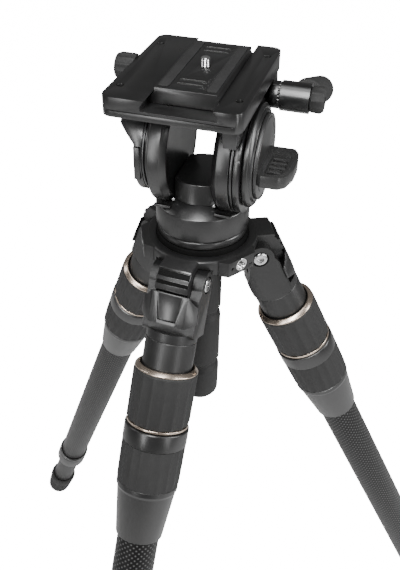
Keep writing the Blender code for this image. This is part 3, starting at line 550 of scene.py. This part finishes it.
def make_leg(name):
    place = LEG[name]
    ear = prism(ear_outline(), -FORK_OUTER, FORK_OUTER, "x")
    neck = lathe([(0, -115.4), (NECK_RADIUS, -115.4), (NECK_RADIUS, -47.4, 0.3), (19.6, -47.0, 0.2),
                  (19.6, -46.6, 0.2), (NECK_RADIUS, -46.2, 0.3), (NECK_RADIUS, -25, 1.0), (0, -25)])
    cuts = [block((-30, -30, -39.5), (30, -12.5, -2)), put(rod(LOCK_ROOM, -13.2, 13.2, FINE), ALONG_X)]
    cuts += [rod(COLLAR_BORE, -130, -59.6, FINE), put(rod(PIN_HOLE, -30, 30, 40), ALONG_X)]
    for _, side in SIDES:
        low, high = sorted((side * 18.6, side * 30))
        cuts.append(put(rod(6.9, low, high, COARSE), ALONG_X))
    piece(name + "_casting", ear, CAST, place, name, [name + "_fork"], 0.6,
          [neck], cuts, [rod(24.2, -60, 20, FINE)])

    pin = lathe([(0, -22.0), (5.8, -22.0, 1.4), (5.8, -18.9), (4, -18.9), (4, 18.9), (5.8, 18.9),
                 (5.8, 22.0, 1.4), (0, 22.0)], COARSE)
    sockets = []
    for low, high in ((19.6, 23), (-23, -19.6)):
        sockets.append(put(lathe([(0, low), (2.9, low), (2.9, high), (0, high)], 6), ALONG_X))
    piece(name + "_bolt", put(pin, ALONG_X), STEEL, place, name, [name + "_hinge_pin"], 0.15,
          cuts=sockets)

    outline = [(-22.5, -12.8), (-22.5, -14.0, 1.5), (-14.0, -20.4, 0.4)]
    outline += [(-7, -20.7), (0, -20.8), (7, -20.7), (14.0, -20.4, 0.4), (22.5, -14.0, 1.5), (22.5, -12.8)]
    front = [(-14, -7), (-23.5, -16, 2), (-23.5, -27.3, 2), (-14, -33.3), (14, -33.3), (23.5, -27.3, 2)]
    front += [(23.5, -16, 2), (14, -7)]
    piece(name + "_lock", prism(outline, -32.3, -8.0), SATIN, place, name + "_lock", [name + "_angle_lock"],
          0.45, cuts=[put(rod(LOCK_ROOM, -30, 30, FINE), ALONG_X), scoop()],
          keeps=[prism(front, -30, 0, "y")], sharp=24)

    ring = [(RING_BORE, -72.4, 0.3), (25.0, -72.4, 0.4), (25.1, -71.4, 0.8), (22.4, -68.9, 0.9),
            (RING_BORE, -68.9, 0.5)]
    piece(name + "_top_ring", lathe(ring), CHAMPAGNE, place, name + "_grip", [name + "_upper_ring"],
          0)
    grip = [(-116.2, 24.6, 1.1), (-115.2, 25.5, 1.3), (-80, 25.6, 1.3), (-76, 25.6, 1.0), (-74.4, 25.5, 0.25)]
    grip += [(-73.4, 25.3, 0.0), (-72.7, 24.8, 0.0)]
    piece(name + "_grip_sleeve", scalloped(grip, 20.8, 16), RUBBER, place, name + "_grip",
          [name + "_twist_grip"], 0)
    ring = [(RING_BORE, -118.3, 0.3), (24.9, -118.3, 0.4), (24.9, -116.4, 0.5), (RING_BORE, -116.4, 0.3)]
    piece(name + "_low_ring", lathe(ring), CHAMPAGNE, place, name, [name + "_lower_ring"],
          0)

    band = [(COLLAR_BORE, -219.0, 0.3), (19.45, -219.0, 0.8), (24.2, -176.0, 3), (25.2, -173.6, 0.5)]
    band += [(25.2, -170), (24.7, -169.6), (24.7, -134.4), (26.0, -133.6, 0.4), (26.0, -119.6, 1.3)]
    band += [(23.6, -119.0, 0.4), (23.6, -119.6), (COLLAR_BORE, -119.6, 0.3)]
    piece(name + "_collar_body", lathe(band), TURNED, place, name, [name + "_collar"], 0)
    ribs = [(-170.0, 25.0, 0.2), (-169.0, 25.5, 0.7), (-150, 25.75, 0.8), (-136, 25.8, 0.8)]
    ribs.append((-134.4, 25.5, 0.3))
    piece(name + "_collar_ribs", scalloped(ribs, 24.6, 20), RUBBER, place, name, [], 0)

    tube = [(TUBE_INNER, -596), (TUBE_OUTER, -596, 0.4), (TUBE_OUTER, -60, 0.4), (TUBE_INNER, -60)]
    piece(name + "_tube", lathe(tube), CARBON, place, name, [name + "_upper_tube"], 0)
    sleeve = [(LOWER_BORE, -614, 0.3), (18.7, -614, 0.8), (20.05, -611, 1.0), (20.05, -585.5, 0.3)]
    sleeve += [(19.6, -585.1), (19.6, -584.4), (20.05, -584.0, 0.3), (20.05, -580, 0.8)]
    sleeve += [(COLLAR_BORE, -580, 0.3), (COLLAR_BORE, -596.3), (LOWER_BORE, -596.3)]
    piece(name + "_sleeve", lathe(sleeve), TURNED, place, name, [name + "_tube_sleeve"], 0)
    inner = [(LOWER_INNER, -722), (LOWER_OUTER, -722, 0.4), (LOWER_OUTER, -132, 0.4), (LOWER_INNER, -132)]
    piece(name + "_inner_tube", lathe(inner), CARBON, place, name + "_tube", [name + "_lower_tube"],
          0)
    foot = [(0, -773.0)]
    for step in range(1, 10):
        angle = math.radians(FOOT_STEP * step)
        foot.append((FOOT_RADIUS * math.sin(angle), FOOT_CENTRE - FOOT_RADIUS * math.cos(angle)))
    for groove in range(5):
        height = -749 + groove * 6.0
        foot += [(17.2 + groove * 0.15, height, 0.4), (16.4 + groove * 0.15, height + 1.0, 0.4),
                 (17.3 + groove * 0.15, height + 2.0, 0.4)]
    foot += [(18.5, -717, 1.0), (18.5, -704, 1.2), (LOWER_BORE, -704, 0.3), (LOWER_BORE, -722.3), (0, -722.3)]
    spin = place.to_3x3().to_4x4()
    at = Matrix.Translation(place.translation)
    piece(name + "_rubber_foot", put(lathe(foot, 72), spin), RUBBER, at, name + "_tube", [name + "_foot"],
          0)


# ---------------------------------------------------------------- levelling base

def make_levelling():
    # Painted shade: the ball is drawn near black, in place of the shade in the gap between the flange and the
    # bowl.
    ball = [(5.5, 4.0), (34.6, 4.0, 0.6)]
    for step in range(13):
        height = 3.4 - 23.4 * step / 12
        ball.append((math.sqrt(BALL_RADIUS ** 2 - height ** 2), height))
    ball.append((5.5, -20.0))
    piece("bowl_ball", lathe(ball, FINEST), PAINTED_SHADE, RIM, "levelling", ["half_ball"], 0)
    flange = [(0, 4.3), (34.0, 4.3, 0.5), (35.0, 5.2, 0.8), (35.0, 10.4, 1.6), (32.6, 11.4, 0.8), (19.5, 11.4)]
    flange += [(19.5, 20.0), (0, 20.0)]
    piece("bowl_flange", lathe(flange, FINEST), TURNED, RIM, "levelling", ["level_flange"], 0)
    washer = [(5.5, -24.5), (20.0, -24.5, 0.6), (24.0, -21.5, 0.4), (24.0, -20.3, 0.3), (5.5, -20.3)]
    piece("bowl_washer", lathe(washer), STEEL, RIM, "levelling", ["tie_down_washer"], 0)
    handle = [(0, -178.0), (12.0, -178.0, 3.5), (16.4, -172.5, 4.5)]
    for groove in (-138.0, -79.0):
        handle += [(16.8, groove - 5.4, 1.5), (14.3, groove - 1.6, 1.2), (14.3, groove + 1.6, 1.2),
                   (16.8, groove + 5.4, 1.5)]
    handle += [(16.8, -31.5, 1.6), (14.6, -29.0, 1.0), (12.0, -24.9, 0.4), (5.0, -24.9), (5.0, 2.0), (0, 2.0)]
    piece("tie_down_grip", lathe(handle), RUBBER, RIM, "tie_down", ["tie_down_handle"], 0)


# ---------------------------------------------------------------- head

def make_pan():
    body = [(20.0, 11.8), (36.0, 11.8, 0.9), (36.0, 30.9, 1.6), (26.2, 37.5, 0.5), (25.0, 37.5)]
    body += [(25.0, 54.0, 0.6), (0, 54.0), (0, 21.0), (20.0, 21.0)]
    cuts = []
    for _, side in SIDES:
        low, high = sorted((side * 16.1, side * 60))
        cuts.append(put(rod(DRUM_ROOM, low, high, 128), ALONG_X, 0, 0, TILT_HEIGHT))
    cuts.append(about_z(put(rod(4.3, 29, 45, 40), ALONG_X, 0, 0, LOCK_HEIGHT), LOCK_AZIMUTH))
    piece("pan_body", lathe(body, FINEST), TURNED, HEAD, "pan", ["pan_housing"], 0.5, (), cuts)
    for name, side in SIDES:
        low, high = sorted((side * 16.6, side * 29.4))
        strip = block((low, -29.2, 33.6), (high, -26.6, 35.6), 0.5)
        piece("foot_strip_" + name, strip, SATIN, HEAD, "pan", [], 0.4)
        stud = lathe([(0, 0), (1.3, 0), (1.3, 0.7, 0.4), (0, 1.1)], 32)
        place = moved(HEAD, side * 15.4, -24.8, 39.6) @ UPRIGHT
        piece("foot_stud_" + name, stud, STEEL, place, "pan", [], 0)
    for name, side in SIDES:
        drum = [(0, 16.9), (36.4, 16.9, 0.6), (37.0, 16.4, 0.4), (37.9, 16.4, 0.4), (DRUM_RADIUS, 20.4, 0.5)]
        drum += [(DRUM_RADIUS, 29.2, 0.7), (AXLE_BORE, 29.2, 0.3), (AXLE_BORE, 17.2), (0, 17.2)]
        drum = [(radius, side * height, *corner) for radius, height, *corner in drum]
        piece("drum_" + name, lathe(drum, FINEST), TURNED, AXLE, "pan", ["tilt_drum_" + name], 0)
    for name, low, high in (("left", -37.6, -17.4), ("right", 17.4, 44.9)):
        axle = [(0, low), (AXLE_RADIUS, low, 0.6), (AXLE_RADIUS, high, 0.6), (0, high)]
        piece("axle_" + name, lathe(axle, 64), STEEL, AXLE, "pan", ["tilt_axle_" + name], 0)
    knob = [(-38.0, 8.6, 0.0), (-39.0, 9.4, 0.5), (-49.6, 9.5, 0.7), (-51.2, 8.9, 0.4), (-52.0, 8.0, 0.0)]
    handle = scalloped([(-h, r, d) for h, r, d in knob], 3.9, 10, 10)
    turn = moved(HEAD, 0, 0, LOCK_HEIGHT) @ Matrix.Rotation(math.radians(LOCK_AZIMUTH), 4, "Z") @ ALONG_X
    piece("pan_knob", handle, RUBBER, turn, "pan_lock", ["pan_lock_knob"], 0,
          joins=[rod(4.0, 30.5, 51.6, COARSE)])
    make_dial_and_lever()


def make_dial_and_lever():
    dial = [(AXLE_BORE, 36.9), (36.6, 36.9, 0.4), (37.5, 37.8, 0.4), (37.5, 40.6, 0.9), (35.6, 42.4, 0.5)]
    dial += [(34.6, 42.4, 0.3), (34.0, 41.8), (33.2, 41.8), (32.4, 43.6, 0.4), (AXLE_BORE, 43.6)]
    piece("dial_disc", lathe(dial, FINEST), TURNED, AXLE, "drag_adjust", ["drag_dial"], 0)
    disc = [(0, 43.9), (31.0, 43.9, 0.2), (31.0, 46.4, 0.7), (29.6, 46.4, 0.2), (29.2, 46.0), (28.6, 46.0)]
    disc += [(28.2, 46.4, 0.2), (0, 46.4)]
    wing = [(45.5, -28.0), (49, -31.0, 1), (61.0, -31.0, 3), (66.0, -27.0, 4), (69.2, -15.0, 8), (69.5, 0.0, 8)]
    wing += [(68.0, 9.0, 4), (64.5, 15.0, 2), (45.5, 15.0)]
    hollow = [(50.5, -26.5, 2), (60.0, -26.5, 3), (64.6, -14.0, 5), (64.6, 3.6, 1.5), (50.5, 3.6, 1.5)]
    cuts = [put(rod(AXLE_BORE, 40, 45.2, COARSE), ALONG_X), prism(hollow, -1.9, 4)]
    for step in range(7):
        at = 5.4 + step * 1.35
        cuts.append(block((48.5, at, 1.05), (66.5, at + 0.55, 4)))
    for start in (14, 196):
        mark = arc((0, 0), 25.6, start, start + 34, 16) + arc((0, 0), 24.6, start + 34, start, 16)
        cuts.append(prism(mark, 46.0, 47.5, "x"))
    piece("lever_wing", put(lathe(disc, 128), ALONG_X), MOULDED, TILT, "tilt_lock", ["tilt_lever"],
          0.6, [prism(wing, -7.5, 1.5)], cuts)
    for step in range(4):
        at = -22.0 + step * 6.6
        rib = block((51.6, at, -2.2), (62.6 - 0.9 * abs(step - 2.5), at + 1.0, -0.5), 0.4)
        piece("lever_rib_%d" % (step + 1), rib, SATIN, TILT, "tilt_lock", [], 0.25)


def grooves(bands):
    """Rings cut into a cradle arm's round edge. Bands are (from, to, floor radius) along the tilt axis."""
    return [put(lathe([(floor, low), (44, low), (44, high), (floor, high)]), ALONG_X)
            for low, high, floor in bands]


def make_cradle():
    flanks = [(33.0, CRADLE_TOP - 6, 3), (36.0, CRADLE_TOP), (-36.0, CRADLE_TOP), (-33.0, CRADLE_TOP - 6, 3)]
    outline = arc((0, 0), LEFT_HUB, 128, 412, 80) + flanks
    below = [(-60, -50), (-41, -50), (-41, 12, 3), (-53, 24), (-60, 24)]
    cuts = [prism(below, -50, 50, "y"), put(rod(AXLE_BORE, -38, -29, 64), ALONG_X)]
    cuts += grooves(((-33.6, -32.2, 33.6), (-35.4, -34.8, 35.0)))
    panel = [(-40.9, -36.4, 0.4), (-36.2, -36.4, 0.4), (-36.2, -30), (-40.9, -30)]
    piece("arm_left", prism(outline, -53.0, -30.0, "x"), SATIN, TILT, "tilt", ["cradle_arm_left"],
          0.5, [prism(panel, -14, 11)], cuts)
    outline = arc((0, 0), RIGHT_HUB, 128, 412, 90) + flanks
    cuts = [put(rod(AXLE_BORE, 29, 38, 64), ALONG_X)] + grooves(((31.6, 32.5, 38.6),))
    panel = arc((0, 0), RIGHT_HUB + 0.3, 160, 200, 14) + arc((0, 0), 36.0, 200, 160, 14)
    front = block((26, -50, 31), (36.4, -34, CRADLE_TOP - 0.2), 1.0)
    step = block((26.8, -49, 27.5), (35.6, -36, 32), 0.8)
    piece("arm_right", prism(outline, 30.0, 36.4, "x"), SATIN, TILT, "tilt", ["cradle_arm_right"],
          0.5, [prism(panel, 33.2, 36.6, "x"), front, step], cuts)


def make_platform():
    low, high = 43.5, 56.9
    left, right, length = 53.0, 41.0, 60.0
    outline = [(-left, -length, 7), (right, -length, 7), (right, length, 7), (-left, length, 7)]
    channel = [(-21.8, high + 1), (-25.3, high - 4), (-25.3, high - 7), (25.3, high - 7), (25.3, high - 4),
               (21.8, high + 1)]
    cuts = [prism(channel, -61, 61, "y"), block((-7, -35, low - 1), (7, 35, high), 3)]
    cuts.append(put(rod(4.3, -57, -20, 40), ALONG_X, 0, 10, high - 8))
    cuts.append(put(rod(4.3, -57, -43, 40), ALONG_X, 0, -32, high - 7))
    for x in (-46, 34):
        for y in (-40, 40):
            cuts.append(put(lathe([(0, -3), (2.6, -3), (2.6, 1), (0, 1)], 32), None, x, y, high))
    cuts.append(block((-60, -62, high - 9.2), (60, -59.4, high - 8.4)))
    piece("head_platform", prism(outline, low, high), SATIN, TILT, "tilt", ["platform"],
          0.6, (), cuts)
    plate = [(-25, high - 6.7, 0.3), (25, high - 6.7, 0.3), (25, high - 4.2, 0.4), (21.1, high + 1)]
    plate += [(21.1, high + 4.0, 0.4), (-21.1, high + 4.0, 0.4), (-21.1, high + 1), (-25, high - 4.2, 0.4)]
    cuts = [rod(3.6, high - 10, high + 10, COARSE), rod(9.3, high - 10, high - 2.5, 64)]
    for y in (-34, -27, 27, 34):
        cuts.append(block((-9, y - 1.2, high + 3.2), (9, y + 1.2, high + 6), 1.1))
    piece("slide_plate", prism(plate, -45, 45, "y"), TURNED, TILT, "plate", ["camera_plate"],
          0.4, (), cuts)
    for name, side in SIDES:
        pad = [(side * 12.5, -42, 2), (side * 19.5, -42, 2), (side * 19.5, 42, 2), (side * 12.5, 42, 2)]
        piece("plate_pad_" + name, prism(pad, high + 4.0, high + 4.5), RUBBER, TILT, "plate", [],
              0.15)
    screw = [(0, high - 6.2), (8.0, high - 6.2, 0.4), (9.0, high - 5.4, 0.4), (9.0, high - 2.8, 0.3)]
    screw += [(3.2, high - 2.8), (3.2, high + 2.0)]
    for turn in range(6):
        height = high + 2.0 + turn * 1.27
        screw += [(2.75, height + 0.3), (3.18, height + 0.9)]
    screw += [(2.4, high + 10.0, 0.3), (0, high + 10.0)]
    piece("camera_bolt", lathe(screw, 64), STEEL, TILT, "screw", ["camera_screw"], 0,
          cuts=[block((-10, -0.8, high - 8), (10, 0.8, high - 5.0))])
    turn = moved(TILT, 0, 10, high - 8) @ ALONG_X
    knob = [(-68.0, 8.4, 0.0), (-67.0, 9.4, 0.6), (-65, 9.9, 0.9), (-55.4, 9.9, 0.8), (-54.2, 9.5, 0.2)]
    knob.append((-53.4, 9.0, 0.0))
    piece("plate_knob", scalloped(knob, 3.9, 12, 8), RUBBER, turn, "plate_lock", ["plate_lock_knob"],
          0, joins=[rod(4.0, -67.6, -26.5, COARSE)])
    turn = moved(TILT, 0, -32, high - 7) @ ALONG_X
    button = [(0, -56.5), (2.6, -56.2), (4.0, -55.6, 0.6), (4.0, -45.5, 0.3), (0, -45.5)]
    piece("release_button", lathe(button, COARSE), MOULDED, turn, "plate_release", ["plate_release_button"],
          0)


def make_pan_handle():
    x, y, height = SWING_X, SWING_Y, SWING_HEIGHT
    bracket = [(37.3, CRADLE_TOP), (37.3, height + 4, 1), (y - 1.5, height - 9, 2), (y + 6, height - 10, 3)]
    bracket += [(y + 11, height - 4, 3), (y + 11, height + 6, 2), (y + 8, CRADLE_TOP)]
    teeth = scalloped([(39.0, 10.0, 0.0), (44.6, 10.0, 0.0), (44.7, 9.9, 0.5), (46.0, 9.9, 0.5)], 3.3, 24, 6)
    piece("bracket_rear", prism(bracket, 32.0, 40.6, "x"), SATIN, TILT, "tilt", ["handle_bracket"],
          0.5, [put(teeth, ALONG_X, 0, y, height)], [put(rod(3.3, 20, 60, 40), ALONG_X, 0, y, height)])
    swing = moved(TILT, 0, y, height) @ Matrix.Rotation(math.radians(SWING_SLOPE), 4, "X")
    socket = put(lathe([(0, 0), (10.5, 0), (10.5, 30, 1.2), (0, 30)], 64), ALONG_Y, x, 0, 0)
    piece("handle_joint", put(rod(11.0, 46.4, x + 10.7, 72), ALONG_X), SATIN, swing, "pan_handle",
          ["handle_clamp"], 0.5, [socket],
          [put(rod(7.3, 13.5, 40, 64), ALONG_Y, x, 0, 0), put(rod(3.4, 20, 80, 40), ALONG_X)])
    along = moved(swing, x, 0, 0) @ ALONG_Y
    piece("handle_bar", lathe([(0, 14), (7.0, 14, 0.5), (7.0, 150, 0.5), (0, 150)], 72), CARBON, along,
          "pan_handle", ["pan_handle_bar"], 0)
    grip = [(7.3, 62), (11.0, 62, 1.5)]
    for ridge in range(14):
        start = 66.0 + ridge * 5.6
        grip += [(12.5, start, 0.7), (12.5, start + 3.4, 0.7), (11.7, start + 4.1, 0.4),
                 (11.7, start + 4.9, 0.4)]
    grip += [(12.5, 146, 1.5), (11.5, 156, 3), (7.0, 160, 2), (0, 160), (0, 150.4), (7.3, 150.4)]
    piece("handle_sleeve", lathe(grip, 72), RUBBER, along, "pan_handle", ["pan_handle_grip"],
          0)
    knob = [(x + 11, 8.6, 0.0), (x + 12, 9.6, 0.5), (x + 18.6, 9.9, 0.9), (x + 20.2, 9.0, 0.5)]
    knob.append((x + 21, 8.0, 0.0))
    piece("clamp_knob", scalloped(knob, 2.9, 10, 8), RUBBER, moved(TILT, 0, y, height) @ ALONG_X,
          "handle_lock", ["handle_clamp_knob"], 0, joins=[rod(3.0, 36.0, x + 20.6, 40)])


make_spider()
for leg in LEGS:
    make_leg(leg)
make_levelling()
make_pan()
make_cradle()
make_platform()
make_pan_handle()


# ---------------------------------------------------------------- floor, light and camera

FLOOR_HALF = 6.0
FLOOR_DROP = 0.0005
FLOOR_GLOW = 16.0
WORLD_STRENGTH = 0.16
CAMERA_AZIMUTH = -69.38
CAMERA_PITCH = 38.08
CAMERA_ROLL = 0.98
CAMERA_YAW = 0.14
CAMERA_REACH = 0.47987
CAMERA_RISE = 0.32073
FOCAL_PIXELS = 731.52
IMAGE_PIXELS = 570
SENSOR_WIDTH = 36.0

# name, degrees round from the camera, elevation, distance, (width, height), watts
LIGHTS = (
    ("key", -14, 50, 1.3, (0.35, 0.9), 19),
    ("front_left", -36, 12, 1.2, (0.20, 0.9), 4.5),
    ("front_right", 36, 3, 1.2, (0.20, 0.9), 3.0),
    ("right_side", 78, 24, 1.4, (0.35, 1.4), 18),
    ("left_side", -100, 30, 1.5, (0.3, 1.0), 4),
    ("top", 0, 84, 1.6, (0.7, 0.7), 6),
)


def make_floor():
    """A white floor that glows for the camera alone, so that it stays plain behind the dark object."""
    bm = bmesh.new()
    bmesh.ops.create_grid(bm, x_segments=2, y_segments=2, size=FLOOR_HALF)
    mesh = bpy.data.meshes.new("studio_floor")
    bm.to_mesh(mesh)
    bm.free()
    floor = bpy.data.objects.new("studio_floor", mesh)
    bpy.context.scene.collection.objects.link(floor)
    floor.location.z = -FLOOR_DROP
    made = bpy.data.materials.new("studio_white")
    made.use_nodes = True
    shader = made.node_tree.nodes["Principled BSDF"]
    shader.inputs["Base Color"].default_value = (0.93, 0.93, 0.93, 1)
    shader.inputs["Roughness"].default_value = 0.9
    shader.inputs["Emission Color"].default_value = (1, 1, 1, 1)
    seen = made.node_tree.nodes.new("ShaderNodeLightPath").outputs["Is Camera Ray"]
    glow = maths(made.node_tree, "MULTIPLY", seen, FLOOR_GLOW)
    made.node_tree.links.new(glow, shader.inputs["Emission Strength"])
    mesh.materials.append(made)


def softbox(name, round_from_camera, elevation, distance, size, power):
    """An area light on a sphere round the head, turned towards it."""
    lamp = bpy.data.lights.new(name, "AREA")
    lamp.shape = "RECTANGLE"
    lamp.size, lamp.size_y = size
    lamp.energy = power
    made = bpy.data.objects.new(name, lamp)
    bpy.context.scene.collection.objects.link(made)
    a, e = math.radians(CAMERA_AZIMUTH + round_from_camera), math.radians(elevation)
    away = Vector((math.cos(a) * math.cos(e), math.sin(a) * math.cos(e), math.sin(e)))
    made.location = RIM_AT + away * distance
    made.rotation_euler = away.to_track_quat("Z", "Y").to_euler()


def make_camera():
    """Looks down at the head from the front, a little to its right."""
    data = bpy.data.cameras.new("view")
    data.sensor_width = SENSOR_WIDTH
    data.lens = FOCAL_PIXELS / IMAGE_PIXELS * SENSOR_WIDTH
    data.clip_start = 0.01
    camera = bpy.data.objects.new("view", data)
    bpy.context.scene.collection.objects.link(camera)
    azimuth = math.radians(CAMERA_AZIMUTH)
    pitch = math.radians(CAMERA_PITCH)
    heading = azimuth + math.pi + math.radians(CAMERA_YAW)
    level = math.cos(pitch)
    forward = Vector((math.cos(heading) * level, math.sin(heading) * level, -math.sin(pitch)))
    right = Vector((math.sin(heading), -math.cos(heading), 0))
    up = right.cross(forward)
    roll = math.radians(CAMERA_ROLL)
    side = right * math.cos(roll) + up * math.sin(roll)
    top = up * math.cos(roll) - right * math.sin(roll)
    matrix = Matrix((side, top, -forward)).transposed().to_4x4()
    reach = Vector((math.cos(azimuth) * CAMERA_REACH, math.sin(azimuth) * CAMERA_REACH, CAMERA_RISE))
    matrix.translation = RIM_AT + reach
    camera.matrix_world = matrix
    bpy.context.scene.camera = camera


def make_world():
    world = bpy.data.worlds.new("studio")
    world.use_nodes = True
    background = world.node_tree.nodes["Background"]
    background.inputs["Color"].default_value = (1, 1, 1, 1)
    background.inputs["Strength"].default_value = WORLD_STRENGTH
    bpy.context.scene.world = world


make_floor()
for light in LIGHTS:
    softbox(*light)
make_world()
make_camera()
